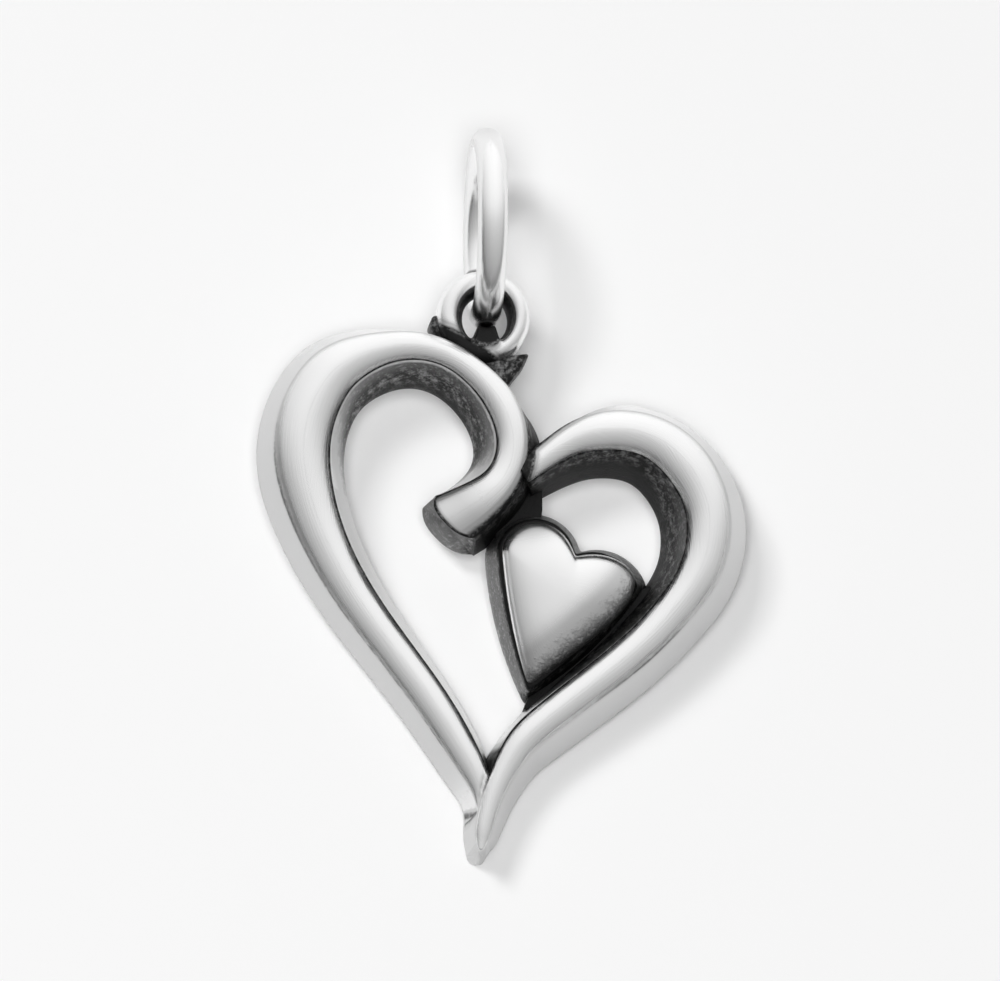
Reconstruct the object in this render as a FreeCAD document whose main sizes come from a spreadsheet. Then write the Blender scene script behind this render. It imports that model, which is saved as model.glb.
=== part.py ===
import FreeCAD, Part
import math
import os

import Sketcher

# Open-heart charm with a scrolled limb, a small puffed heart and an eyelet, hung on a jump ring.
# Units are millimetres. The face looks to -Y, +Z is up and +X is to the right of the face.
# The origin is at the top of the jump ring, on the inside of its wire, where a chain bears.

# Jump ring
ring_wire = 1.0
ring_bore = 4.76

# The heart over the back edges of its limbs, and the drop from the ring's wire to the lobe under the eyelet
heart_width = 16.3
heart_height = 18.4
lobe_drop = 1.93

# Section of the two limbs: drafted walls under a domed front
wall_depth = 2.0
limb_width = 1.9
wall_flare = 0.57
dome_height = 0.5
scroll_end_flare = 0.57
point_flare = 0.3

# Eyelet, its feet, and the play of the wire in its hole
eyelet_depth = 1.4
eyelet_rim = 0.72
eyelet_flare = 0.24
eyelet_crown = 0.35
eyelet_offset = 0.1
wire_play = 0.7
wire_gap = 0.17
foot_depth = 1.3

# Small heart: drafted base and puffed front
small_base_depth = 1.5
puff_height = 0.85

# Sunken webs that join the casting behind the face
web_depth = 0.75

# Derived places
pivot_z = -(ring_bore + ring_wire / 2)
back_y = wall_depth / 2
hole_radius = (ring_wire + wire_play) / 2
eyelet_radius = hole_radius + eyelet_rim
eyelet_x = -eyelet_offset
eyelet_z = pivot_z + ring_wire / 2 + wire_gap - hole_radius

SIZES = {
    "ring_wire": ring_wire,
    "ring_bore": ring_bore,
    "wall_depth": wall_depth,
    "limb_width": limb_width,
    "wall_flare": wall_flare,
    "dome_height": dome_height,
    "eyelet_rim": eyelet_rim,
    "wire_play": wire_play,
    "foot_depth": foot_depth,
    "small_base_depth": small_base_depth,
    "puff_height": puff_height,
    "web_depth": web_depth,
}

# Stations of the left limb, from the bottom point up to the scroll's end: place across and below the lobe line
# as shares of the heart's width and height, the half width as a share of limb_width, then the flare of the wall
# inside the heart and of the wall outside it as shares of wall_flare
LEFT_STATION_SHARES = [
    (0.004, 0.810, 0.090, 0.45, 0.45),
    (-0.010, 0.783, 0.160, 0.75, 0.45),
    (-0.040, 0.725, 0.260, 0.90, 0.50),
    (-0.110, 0.624, 0.310, 1.00, 0.48),
    (-0.193, 0.525, 0.320, 1.00, 0.46),
    (-0.274, 0.427, 0.350, 1.00, 0.52),
    (-0.341, 0.317, 0.400, 1.00, 0.62),
    (-0.380, 0.200, 0.485, 0.95, 0.75),
    (-0.375, 0.107, 0.500, 0.95, 0.80),
    (-0.332, 0.028, 0.465, 0.95, 0.90),
    (-0.275, -0.009, 0.385, 1.00, 1.00),
    (-0.209, -0.029, 0.285, 1.00, 1.00),
    (-0.142, -0.034, 0.252, 1.00, 1.00),
    (-0.077, -0.018, 0.232, 1.00, 1.00),
    (-0.021, 0.018, 0.240, 1.00, 1.00),
    (0.024, 0.063, 0.280, 1.00, 1.00),
    (0.051, 0.121, 0.290, 1.00, 1.00),
    (0.048, 0.180, 0.300, 1.00, 1.00),
    (0.013, 0.233, 0.350, 1.00, 1.00),
    (-0.066, 0.281, 0.490, 0.80, 0.80),
]
# The same for the right limb, from its seat inside the left lobe round to the bottom point
RIGHT_STATION_SHARES = [
    (0.070, 0.200, 0.200, 0.80, 0.80),
    (0.116, 0.167, 0.235, 0.90, 0.90),
    (0.172, 0.133, 0.290, 1.00, 1.00),
    (0.222, 0.120, 0.345, 1.00, 1.00),
    (0.273, 0.116, 0.370, 1.00, 1.00),
    (0.325, 0.124, 0.385, 1.00, 1.00),
    (0.369, 0.144, 0.405, 1.05, 1.05),
    (0.405, 0.175, 0.425, 1.10, 1.10),
    (0.432, 0.211, 0.415, 1.15, 1.15),
    (0.450, 0.255, 0.400, 1.20, 1.20),
    (0.453, 0.300, 0.395, 1.20, 1.20),
    (0.446, 0.343, 0.380, 1.15, 1.15),
    (0.427, 0.385, 0.360, 1.10, 1.10),
    (0.399, 0.423, 0.335, 1.05, 1.05),
    (0.333, 0.493, 0.315, 1.00, 1.00),
    (0.257, 0.552, 0.310, 1.00, 1.00),
    (0.176, 0.608, 0.295, 1.00, 1.00),
    (0.097, 0.664, 0.285, 0.95, 0.95),
    (0.062, 0.698, 0.265, 0.85, 0.85),
    (0.036, 0.738, 0.220, 0.80, 0.80),
    (0.014, 0.783, 0.180, 0.75, 0.75),
    (-0.003, 0.839, 0.145, 0.70, 0.70),
    (-0.009, 0.869, 0.100, 0.65, 0.65),
    (-0.011, 0.885, 0.045, 0.50, 0.50),
]

# The small heart's notch, left shoulder, point and right shoulder, as shares of the whole heart, each with the
# rise of the arc that leads on from it as a share of its chord
PUFF_CORNER_SHARES = [
    (0.177, 0.349, 0.42),
    (0.037, 0.331, 0.032),
    (0.088, 0.580, 0.035),
    (0.298, 0.399, 0.215),
]
BASE_FRONT_CORNER_SHARES = [
    (0.179, 0.342, 0.42),
    (0.029, 0.329, 0.035),
    (0.087, 0.592, 0.035),
    (0.306, 0.398, 0.22),
]
BASE_BACK_CORNER_SHARES = [
    (0.200, 0.322, 0.42),
    (0.002, 0.332, 0.052),
    (0.085, 0.607, 0.075),
    (0.341, 0.391, 0.23),
]
SMALL_CENTRE_SHARES = (0.172, 0.440)
# Levels of the puffed front: how far its outline is drawn in, and the height there as a share of puff_height
PUFF_LEVEL_SHARES = [
    (1.00, 0.00),
    (0.99, 0.26),
    (0.94, 0.52),
    (0.83, 0.74),
    (0.62, 0.91),
    (0.34, 0.99),
    (0.12, 1.00),
]
# Outlines of the sunken webs, in shares of the heart
SCROLL_WEB_SHARES = [
    (0.024, 0.340),
    (0.018, 0.275),
    (0.070, 0.200),
    (0.118, 0.215),
    (0.118, 0.253),
    (0.110, 0.315),
    (0.040, 0.365),
]
RECESS_WEB_SHARES = [
    (0.280, 0.415),
    (0.338, 0.389),
    (0.400, 0.450),
    (0.285, 0.560),
    (0.160, 0.650),
    (0.080, 0.617),
    (0.105, 0.555),
]
# The eyelet's feet: corners about the eyelet in shares of its radius, then the left limb's stations they run into
LEFT_FOOT_SHARES = [(-1.20, -0.14), (-1.10, 0.16), (-0.45, 0.11), (-0.15, -0.47)]
LEFT_FOOT_STATIONS = (13,)
RIGHT_FOOT_SHARES = [(0.06, -0.31), (0.92, -0.31), (1.00, -0.73)]
RIGHT_FOOT_STATIONS = (15, 14)


def add_sheet(doc):
    """Keep the driving sizes in a sheet, each under its own name."""
    sheet = doc.addObject("Spreadsheet::Sheet", "Sizes")
    for row, (name, value) in enumerate(SIZES.items(), start=1):
        sheet.set(f"A{row}", name)
        sheet.set(f"B{row}", str(value))
        sheet.setAlias(f"B{row}", name)
    doc.recompute()


def heart_place(across_share, below_share):
    """Turn shares of the heart into a place on the face, across and up."""
    return across_share * heart_width, pivot_z - lobe_drop - below_share * heart_height


def add_sketch(body, name, plane_role, offset=FreeCAD.Placement()):
    """Add a sketch on one of the body's own planes; the upright one is seen from the face."""
    plane = next(item for item in body.Origin.OriginFeatures if item.Role == plane_role)
    sketch = body.newObject("Sketcher::SketchObject", name)
    sketch.AttachmentSupport = [(plane, "")]
    sketch.MapMode = "FlatFace"
    sketch.AttachmentOffset = offset
    return sketch


def add_outline(sketch, edges):
    """Put a closed run of edges into a sketch and hold them where the shares put them."""
    for index, edge in enumerate(edges):
        sketch.addGeometry(edge, False)
        sketch.addConstraint(Sketcher.Constraint("Block", index))


def straight_edges(points):
    """Join places into a closed run of straight edges."""
    corners = [FreeCAD.Vector(x, z, 0) for x, z in points]
    return [Part.LineSegment(start, end) for start, end in zip(corners, corners[1:] + corners[:1])]


def between_stations(stations):
    """Add a station halfway between each two, on the smooth curve through them and their neighbours."""
    finer = [stations[0]]
    last = len(stations) - 1
    for index in range(last):
        before = stations[max(index - 1, 0)]
        here = stations[index]
        there = stations[index + 1]
        after = stations[min(index + 2, last)]
        halfway = [9 / 16 * (b + c) - (a + d) / 16 for a, b, c, d in zip(before, here, there, after)]
        finer.append([round(share, 5) for share in halfway])
        finer.append(there)
    return finer


def spine_directions(places):
    """Give the unit direction of a limb's spine at each station, from its neighbours."""
    directions = []
    for index in range(len(places)):
        before = places[max(index - 1, 0)]
        after = places[min(index + 1, len(places) - 1)]
        step = FreeCAD.Vector(after[0] - before[0], after[1] - before[1], 0)
        directions.append(step.normalize())
    return directions


def limb_section(body, name, station, forward, end_flare):
    """Draw one station of a limb: a drafted wall each side of a flat back, and an arc for the dome."""
    across, below, half_share, inner_share, outer_share = station
    fullness = round(2 * half_share, 5)
    lean = math.atan2(end_flare, wall_depth)
    stretch = 1 / math.cos(lean)
    front_half = half_share * limb_width
    inner_half = front_half + inner_share * wall_flare
    outer_half = front_half + outer_share * wall_flare
    dome = fullness * dome_height
    side = wall_depth / 2 * stretch
    radius = (front_half**2 + dome**2) / (2 * dome)

    outward = FreeCAD.Vector(-forward.y, forward.x, 0)
    upright = FreeCAD.Vector(0, 0, math.cos(lean)) - forward * math.sin(lean)
    turn = FreeCAD.Rotation(outward, upright, FreeCAD.Vector(), "XYZ")
    place = FreeCAD.Vector(*heart_place(across, below), 0) + forward * (end_flare / 2)
    sketch = add_sketch(body, name, "XZ_Plane", FreeCAD.Placement(place, turn))

    centre = FreeCAD.Vector(0, side + dome - radius, 0)
    start_angle = math.atan2(side - centre.y, front_half)
    circle = Part.Circle(centre, FreeCAD.Vector(0, 0, 1), radius)
    corners = [(-inner_half, -side), (outer_half, -side), (front_half, side), (-front_half, side)]
    edges = straight_edges(corners)
    edges[2] = Part.ArcOfCircle(circle, start_angle, math.pi - start_angle)
    for edge in edges:
        sketch.addGeometry(edge, False)
    for edge in range(4):
        sketch.addConstraint(Sketcher.Constraint("Coincident", edge, 2, (edge + 1) % 4, 1))
    sketch.addConstraint(Sketcher.Constraint("Horizontal", 0))
    sketch.addConstraint(Sketcher.Constraint("Symmetric", 2, 1, 2, 2, -2))

    half_text = f"{half_share} * Sizes.limb_width"
    dome_text = f"{fullness} * Sizes.dome_height"
    side_text = f"Sizes.wall_depth / 2 * {stretch}"
    driven = [
        (("DistanceX", 0, 1, -1, 1, inner_half), f"{half_text} + {inner_share} * Sizes.wall_flare"),
        (("DistanceX", -1, 1, 0, 2, outer_half), f"{half_text} + {outer_share} * Sizes.wall_flare"),
        (("DistanceX", 2, 2, 2, 1, 2 * front_half), f"2 * {half_text}"),
        (("DistanceY", 0, 1, -1, 1, side), side_text),
        (("DistanceY", -1, 1, 2, 1, side), side_text),
        (("Radius", 2, radius), f"(({half_text})^2 + ({dome_text})^2) / (2 * {dome_text})"),
    ]
    for rule, expression in driven:
        index = sketch.addConstraint(Sketcher.Constraint(*rule))
        sketch.setExpression(f"Constraints[{index}]", expression)
    return sketch


def add_loft(body, sketches, ruled):
    """Loft a body through its sketches."""
    loft = body.newObject("PartDesign::AdditiveLoft", f"{body.Name}_loft")
    loft.Profile = sketches[0]
    loft.Sections = sketches[1:]
    loft.Ruled = ruled
    body.Tip = loft
    return body


def limb_body(doc, name, stations, end_flare):
    """Loft a limb through its stations; the last one leans, so that the end wall is drafted too."""
    body = doc.addObject("PartDesign::Body", name)
    finer = between_stations(stations)
    directions = spine_directions([heart_place(station[0], station[1]) for station in finer])
    sketches = []
    for index, station in enumerate(finer):
        flare = end_flare if index == len(finer) - 1 else 0
        sketches.append(limb_section(body, f"{name}_station_{index}", station, directions[index], flare))
    return add_loft(body, sketches, True)


def small_heart_edges(corner_shares, scale_share=1):
    """Close the small heart's outline with an arc from corner to corner, drawn in towards its centre."""
    centre = FreeCAD.Vector(*heart_place(*SMALL_CENTRE_SHARES), 0)
    corners = []
    for across, below, _ in corner_shares:
        corners.append(centre + (FreeCAD.Vector(*heart_place(across, below), 0) - centre) * scale_share)
    edges = []
    for index, start in enumerate(corners):
        end = corners[(index + 1) % len(corners)]
        chord = end - start
        outward = FreeCAD.Vector(chord.y, -chord.x, 0)
        middle = (start + end) / 2 + outward * corner_shares[index][2]
        edges.append(Part.Arc(start, middle, end))
    return edges


def face_offset(depth):
    """Place a sketch at a depth in front of the heart's flat back."""
    return FreeCAD.Placement(FreeCAD.Vector(0, 0, depth - back_y), FreeCAD.Rotation())


def small_base_body(doc):
    """Drafted base of the small heart, lofted from its wide back to its front."""
    body = doc.addObject("PartDesign::Body", "small_base_whole")
    back = add_sketch(body, "small_base_back", "XZ_Plane", face_offset(0))
    add_outline(back, small_heart_edges(BASE_BACK_CORNER_SHARES))
    front = add_sketch(body, "small_base_front", "XZ_Plane", face_offset(small_base_depth))
    front.setExpression(".AttachmentOffset.Base.z", "Sizes.small_base_depth - Sizes.wall_depth / 2")
    add_outline(front, small_heart_edges(BASE_FRONT_CORNER_SHARES))
    return add_loft(body, [back, front], True)


def small_heart_puff(doc):
    """Puffed front of the small heart: its outline drawn in, level by level, to a low crown."""
    body = doc.addObject("PartDesign::Body", "small_heart_puff")
    sketches = []
    for index, (scale_share, height_share) in enumerate(PUFF_LEVEL_SHARES):
        level = face_offset(small_base_depth + height_share * puff_height)
        sketch = add_sketch(body, f"puff_level_{index}", "XZ_Plane", level)
        expression = f"Sizes.small_base_depth + {height_share} * Sizes.puff_height - Sizes.wall_depth / 2"
        sketch.setExpression(".AttachmentOffset.Base.z", expression)
        add_outline(sketch, small_heart_edges(PUFF_CORNER_SHARES, scale_share))
        sketches.append(sketch)
    return add_loft(body, sketches, False)


def padded_body(doc, name, points, depth_name):
    """Pad an outline forward from the heart's flat back."""
    body = doc.addObject("PartDesign::Body", name)
    sketch = add_sketch(body, f"{name}_outline", "XZ_Plane", face_offset(0))
    add_outline(sketch, straight_edges(points))
    pad = body.newObject("PartDesign::Pad", f"{name}_pad")
    pad.Profile = sketch
    pad.setExpression("Length", f"Sizes.{depth_name}")
    body.Tip = pad
    return body


def foot_points(corner_shares, station_indices):
    """Run a foot's outline from the eyelet's side down to the spine of the left limb."""
    points = []
    for across, up in corner_shares:
        points.append((eyelet_x + across * eyelet_radius, eyelet_z + up * eyelet_radius))
    for index in station_indices:
        across, below = LEFT_STATION_SHARES[index][:2]
        points.append(heart_place(across, below))
    return points


def jump_ring(doc):
    """Round wire bent to a closed ring that stands fore and aft."""
    ring = doc.addObject("Part::Torus", "jump_ring")
    ring.setExpression("Radius1", "(Sizes.ring_bore + Sizes.ring_wire) / 2")
    ring.setExpression("Radius2", "Sizes.ring_wire / 2")
    quarter_turn = FreeCAD.Rotation(FreeCAD.Vector(0, 1, 0), 90)
    ring.Placement = FreeCAD.Placement(FreeCAD.Vector(0, 0, -ring_bore / 2), quarter_turn)
    return ring


def eyelet_body(doc):
    """Rounded ring with a flared hole, turned about the axis of the hole."""
    body = doc.addObject("PartDesign::Body", "eyelet_whole")
    body.Placement = FreeCAD.Placement(FreeCAD.Vector(eyelet_x, 0, eyelet_z), FreeCAD.Rotation())
    sketch = add_sketch(body, "eyelet_profile", "XY_Plane")
    half = eyelet_depth / 2
    mouth = hole_radius + eyelet_flare
    shoulder = eyelet_crown - half
    edges = straight_edges([(hole_radius, half), (eyelet_radius, half), (eyelet_radius, shoulder), (mouth, shoulder)])
    crown = FreeCAD.Vector((eyelet_radius + mouth) / 2, -half, 0)
    edges[2] = Part.Arc(edges[1].EndPoint, crown, edges[3].StartPoint)
    add_outline(sketch, edges)
    turned = body.newObject("PartDesign::Revolution", "eyelet_revolution")
    turned.Profile = sketch
    turned.ReferenceAxis = (sketch, ["V_Axis"])
    turned.Angle = 360
    body.Tip = turned
    return body


def eyelet_core(doc):
    """Round block of the eyelet's outside, which the feet stop at."""
    core = doc.addObject("Part::Cylinder", "eyelet_core")
    core.setExpression("Radius", "(Sizes.ring_wire + Sizes.wire_play) / 2 + Sizes.eyelet_rim")
    core.setExpression("Height", "Sizes.wall_depth * 2")
    quarter_turn = FreeCAD.Rotation(FreeCAD.Vector(1, 0, 0), 90)
    core.Placement = FreeCAD.Placement(FreeCAD.Vector(eyelet_x, wall_depth, eyelet_z), quarter_turn)
    return core


def seat(doc, name, base, neighbours):
    """Cut a piece back to the faces of its neighbours, one after another, and give it its name."""
    for index, neighbour in enumerate(neighbours):
        result = doc.addObject("Part::Cut", f"{name}_seat_{index}")
        result.Base = base
        result.Tool = neighbour
        base = result
    base.Label = name
    return base


def write_parts(doc, pieces):
    """Check every object and every piece, then write each piece under its label."""
    for item in doc.Objects:
        if "Invalid" in item.State or "Error" in item.State:
            raise RuntimeError(f"{item.Name} failed: {item.State}")
    for piece in pieces:
        if piece.Shape.isNull() or not piece.Shape.isValid() or piece.Shape.Volume <= 0:
            raise RuntimeError(f"{piece.Label} has no sound shape")
    os.makedirs("parts", exist_ok=True)
    for piece in pieces:
        piece.Shape.exportStep(f"parts/{piece.Label}.step")
        print(f"{piece.Label}: solids {len(piece.Shape.Solids)}, volume {piece.Shape.Volume:.3f}")


doc = FreeCAD.newDocument("charm")
add_sheet(doc)
ring = jump_ring(doc)

scroll_web = padded_body(doc, "scroll_web", [heart_place(*share) for share in SCROLL_WEB_SHARES], "web_depth")
recess_web = padded_body(doc, "recess_web", [heart_place(*share) for share in RECESS_WEB_SHARES], "web_depth")
webs = [scroll_web, recess_web]
right_whole = limb_body(doc, "right_limb_whole", RIGHT_STATION_SHARES, point_flare)
right = seat(doc, "right_limb", right_whole, webs)
left_whole = limb_body(doc, "left_limb_whole", LEFT_STATION_SHARES, scroll_end_flare)
left = seat(doc, "left_scroll_limb", left_whole, [right_whole] + webs)
base = seat(doc, "small_heart_base", small_base_body(doc), [right_whole, left_whole] + webs)
puff = small_heart_puff(doc)

eyelet = seat(doc, "eyelet", eyelet_body(doc), [left_whole])
core = eyelet_core(doc)
left_foot_points = foot_points(LEFT_FOOT_SHARES, LEFT_FOOT_STATIONS)
left_foot_whole = padded_body(doc, "left_foot_whole", left_foot_points, "foot_depth")
left_foot = seat(doc, "eyelet_left_foot", left_foot_whole, [core, left_whole])
right_foot_points = foot_points(RIGHT_FOOT_SHARES, RIGHT_FOOT_STATIONS)
right_foot_whole = padded_body(doc, "right_foot_whole", right_foot_points, "foot_depth")
right_foot = seat(doc, "eyelet_right_foot", right_foot_whole, [core, left_whole])

doc.recompute()
write_parts(doc, [ring, right, left, eyelet, left_foot, right_foot, base, puff, scroll_web, recess_web])
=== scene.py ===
import math

import bpy
import numpy as np
from mathutils import Matrix, Vector


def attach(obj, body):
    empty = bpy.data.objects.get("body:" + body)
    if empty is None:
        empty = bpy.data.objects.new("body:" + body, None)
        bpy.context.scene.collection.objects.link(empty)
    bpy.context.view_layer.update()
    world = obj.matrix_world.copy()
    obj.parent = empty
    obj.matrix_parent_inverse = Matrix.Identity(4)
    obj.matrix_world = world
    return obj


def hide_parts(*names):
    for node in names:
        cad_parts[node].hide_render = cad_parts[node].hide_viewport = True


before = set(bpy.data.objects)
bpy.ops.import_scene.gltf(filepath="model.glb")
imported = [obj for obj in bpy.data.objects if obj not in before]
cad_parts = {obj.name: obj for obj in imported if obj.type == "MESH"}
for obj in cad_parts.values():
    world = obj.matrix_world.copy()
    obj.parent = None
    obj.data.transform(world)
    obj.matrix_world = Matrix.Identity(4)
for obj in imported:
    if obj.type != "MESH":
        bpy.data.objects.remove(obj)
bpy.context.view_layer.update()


# Camera
# A long lens looks at the charm's face from a little below and to its left, as a photographer
# bends over a charm on a table. Thirty pixels are one millimetre at the jump ring's middle.
MM = 0.001
azimuth, elevation = math.radians(-5.0), math.radians(-10.5)
to_camera = np.array([
    math.sin(azimuth) * math.cos(elevation),
    -math.cos(azimuth) * math.cos(elevation),
    math.sin(elevation),
])
view_right = np.array([math.cos(azimuth), math.sin(azimuth), 0.0])
view_up = np.cross(to_camera, view_right)
ring_middle_z = -2.38
aim_right, aim_down = 0.483, 8.733
ring_middle = np.array([0.0, 0.0, ring_middle_z]) * MM
frame_middle = ring_middle + (aim_right * view_right - aim_down * view_up) * MM

lens = bpy.data.cameras.new("camera")
lens.lens = 600.0
lens.sensor_width = 36.0
lens.clip_start = 0.01
lens.clip_end = 10.0
picture_width, pixels_per_mm = 1000, 30
frame_width = picture_width / pixels_per_mm * MM
distance = lens.lens / lens.sensor_width * frame_width
camera = bpy.data.objects.new("camera", lens)
axes = np.column_stack([view_right, view_up, to_camera])
camera_place = Matrix.Translation(Vector(frame_middle + distance * to_camera))
camera.matrix_world = camera_place @ Matrix(axes.tolist()).to_4x4()
bpy.context.scene.collection.objects.link(camera)
bpy.context.scene.camera = camera
bpy.context.scene.view_settings.view_transform = "Standard"


# Paper, lamps and tent
# The charm lies on white paper that touches its point and the back of the standing jump ring. A broad lamp
# shines from beside the camera, a key lamp from the upper left and a weak one from behind. A cloth tent
# stands round it, as is usual round polished silver, and shows only in the silver.
class Level:
    """A socket in a shader. Sums with levels add the Math nodes that work them out."""

    def __init__(self, tree, socket=None):
        self.tree = tree
        self.socket = socket

    def node(self, kind, settings, sockets, output=0):
        """Add a node, with its settings first and then its sockets' values or links, and give one output."""
        node = self.tree.nodes.new(kind)
        for name, value in settings.items():
            setattr(node, name, value)
        for name, value in sockets.items():
            if isinstance(value, Level):
                self.tree.links.new(value.socket, node.inputs[name])
            else:
                node.inputs[name].default_value = value
        return Level(self.tree, node.outputs[output] if node.outputs else None)

    def sum(self, operation, first, second):
        return self.node("ShaderNodeMath", {"operation": operation}, {0: first, 1: second})

    def __add__(self, other):
        return self.sum("ADD", self, other)

    def __radd__(self, other):
        return self.sum("ADD", other, self)

    def __sub__(self, other):
        return self.sum("SUBTRACT", self, other)

    def __rsub__(self, other):
        return self.sum("SUBTRACT", other, self)

    def __mul__(self, other):
        return self.sum("MULTIPLY", self, other)

    def __rmul__(self, other):
        return self.sum("MULTIPLY", other, self)

    def most(self, other):
        """The larger of two levels."""
        return self.sum("MAXIMUM", self, other)

    def rise(self, low, high):
        """Smooth step, 0 up to low and 1 from high."""
        return self.node(
            "ShaderNodeMapRange",
            {"interpolation_type": "SMOOTHSTEP"},
            {"Value": self, "From Min": low, "From Max": high, "To Min": 0.0, "To Max": 1.0},
        )

    def blend(self, first, second):
        """Mix two colours by this level: 0 gives the first, 1 the second."""
        return self.node("ShaderNodeMix", {"data_type": "RGBA"}, {0: self, 6: first, 7: second}, output=2)


def new_material(name):
    """An empty node material, and a level to add its nodes with."""
    material = bpy.data.materials.new(name)
    material.use_nodes = True
    material.node_tree.nodes.clear()
    return material, Level(material.node_tree)


def grey(value):
    return (value, value, value, 1.0)


paper_slope = 0.1121
lean = math.atan(paper_slope)
paper_normal = np.array([0.0, -math.cos(lean), math.sin(lean)])
paper_up = np.array([0.0, math.sin(lean), math.cos(lean)])
paper_right = np.array([1.0, 0.0, 0.0])
point_touch = np.array([0.0, 1.02, -23.8]) * MM
point_to_middle = 13.0
paper_middle = point_touch + point_to_middle * MM * paper_up


def paper_place(across, along, above):
    """Places over the paper: across it, along it towards the ring, and above it, in metres."""
    return (
        paper_middle
        + across[..., None] * paper_right
        + along[..., None] * paper_up
        + above[..., None] * paper_normal
    )


def sheet_mesh(name, points):
    """A grid of points as an open sheet of quads."""
    rows, columns = points.shape[:2]
    index = np.arange(rows * columns).reshape(rows, columns)
    quads = np.stack([index[:-1, :-1], index[:-1, 1:], index[1:, 1:], index[1:, :-1]], axis=-1)
    mesh = bpy.data.meshes.new(name)
    mesh.from_pydata(points.reshape(-1, 3).tolist(), [], quads.reshape(-1, 4).tolist())
    thing = bpy.data.objects.new(name, mesh)
    bpy.context.scene.collection.objects.link(thing)
    return thing


half_paper = 0.05
paper_grid = np.linspace(-half_paper, half_paper, 3)
paper_across, paper_along = np.meshgrid(paper_grid, paper_grid)
paper = sheet_mesh("paper", paper_place(paper_across, paper_along, np.zeros_like(paper_across)))

# The paper throws no shadow, and seen from behind it isn't there, so the charm's back shows and is lit too
paper_material, shade = new_material("paper")
shadow_ray = shade.node("ShaderNodeLightPath", {}, {}, "Is Shadow Ray")
came_through = shade.node("ShaderNodeLightPath", {}, {}, "Transparent Depth")
from_behind = shade.node("ShaderNodeNewGeometry", {}, {}, "Backfacing")
absent = shadow_ray.most(from_behind).most(came_through.rise(0.4, 0.6))
matt_white = shade.node("ShaderNodeBsdfDiffuse", {}, {"Color": grey(0.90)})
open_air = shade.node("ShaderNodeBsdfTransparent", {}, {})
paper_shader = shade.node("ShaderNodeMixShader", {}, {0: absent, 1: matt_white, 2: open_air})
shade.node("ShaderNodeOutputMaterial", {}, {"Surface": paper_shader})
paper.data.materials.append(paper_material)


def lamp(name, across, along, above, size, power):
    """A square lamp at a place over the paper, in metres, turned to the charm's middle."""
    place = paper_place(*np.array([across, along, above]))
    light = bpy.data.lights.new(name, "AREA")
    light.shape = "SQUARE"
    light.size = size
    light.energy = power
    thing = bpy.data.objects.new(name, light)
    thing.visible_glossy = False
    thing.visible_camera = False
    turn = Vector(place - frame_middle).to_track_quat("Z", "Y")
    thing.matrix_world = Matrix.Translation(Vector(place)) @ turn.to_matrix().to_4x4()
    bpy.context.scene.collection.objects.link(thing)


lamp("broad_lamp", across=-0.08, along=-0.20, above=0.80, size=0.30, power=3.86)
lamp("key_lamp", across=-0.35, along=0.20, above=0.70, size=0.20, power=2.30)
lamp("back_lamp", across=0.09, along=0.08, above=-0.30, size=0.10, power=0.25)

studio = bpy.data.worlds.new("studio")
studio.use_nodes = True
studio.node_tree.nodes.clear()
sky = Level(studio.node_tree)
seen = sky.node("ShaderNodeLightPath", {}, {}, "Is Camera Ray")
seen = seen.most(sky.node("ShaderNodeLightPath", {}, {}, "Is Glossy Ray"))
seen = seen.most(sky.node("ShaderNodeLightPath", {}, {}, "Is Transmission Ray"))
sky_grey = seen.blend(grey(0.20), grey(0.93))
background = sky.node("ShaderNodeBackground", {}, {"Color": sky_grey, "Strength": 1.0})
sky.node("ShaderNodeOutputWorld", {}, {"Surface": background})
bpy.context.scene.world = studio

# The tent is a ball round the charm that only reflections show. It is pale at the top and dark at the bottom,
# darker towards both sides, and darker again in a band at the paper's level, which fades out at the top.
turn, rise_angle = np.meshgrid(np.linspace(0, 2 * math.pi, 49), np.linspace(-math.pi / 2, math.pi / 2, 25))
tent_radius = 0.13
tent = sheet_mesh("tent", paper_place(
    tent_radius * np.cos(rise_angle) * np.cos(turn),
    tent_radius * np.cos(rise_angle) * np.sin(turn),
    tent_radius * np.sin(rise_angle),
))
tent_material, shade = new_material("tent")
tent_place = shade.node("ShaderNodeTexCoord", {}, {}, "Object")


def share_along(axis):
    """How far along an axis a place on the tent lies, as a share of the tent's radius."""
    sockets = {0: tent_place, 1: tuple(axis)}
    dot = shade.node("ShaderNodeVectorMath", {"operation": "DOT_PRODUCT"}, sockets, "Value")
    return (dot - float(paper_middle @ axis)) * (1 / tent_radius)


above_paper = shade.node("ShaderNodeMath", {"operation": "ABSOLUTE"}, {0: share_along(paper_normal)})
upward = share_along(view_up)
rightward = share_along(view_right)
top_glow = 0.17 * upward.rise(0.05, 0.55)
cloth = 0.61 + 0.30 * upward + top_glow + 0.10 * rightward - 0.16 * rightward * rightward
low_band = (1 - above_paper.rise(0.0, 0.4)) * (1 - upward.rise(0.1, 0.8))
tent_level = cloth - 0.19 * low_band
tent_shader = shade.node("ShaderNodeEmission", {}, {"Color": grey(1.0), "Strength": tent_level})
shade.node("ShaderNodeOutputMaterial", {}, {"Surface": tent_shader})
tent.data.materials.append(tent_material)
tent.visible_camera = False
tent.visible_diffuse = False
tent.visible_shadow = False
tent.visible_transmission = False


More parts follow.
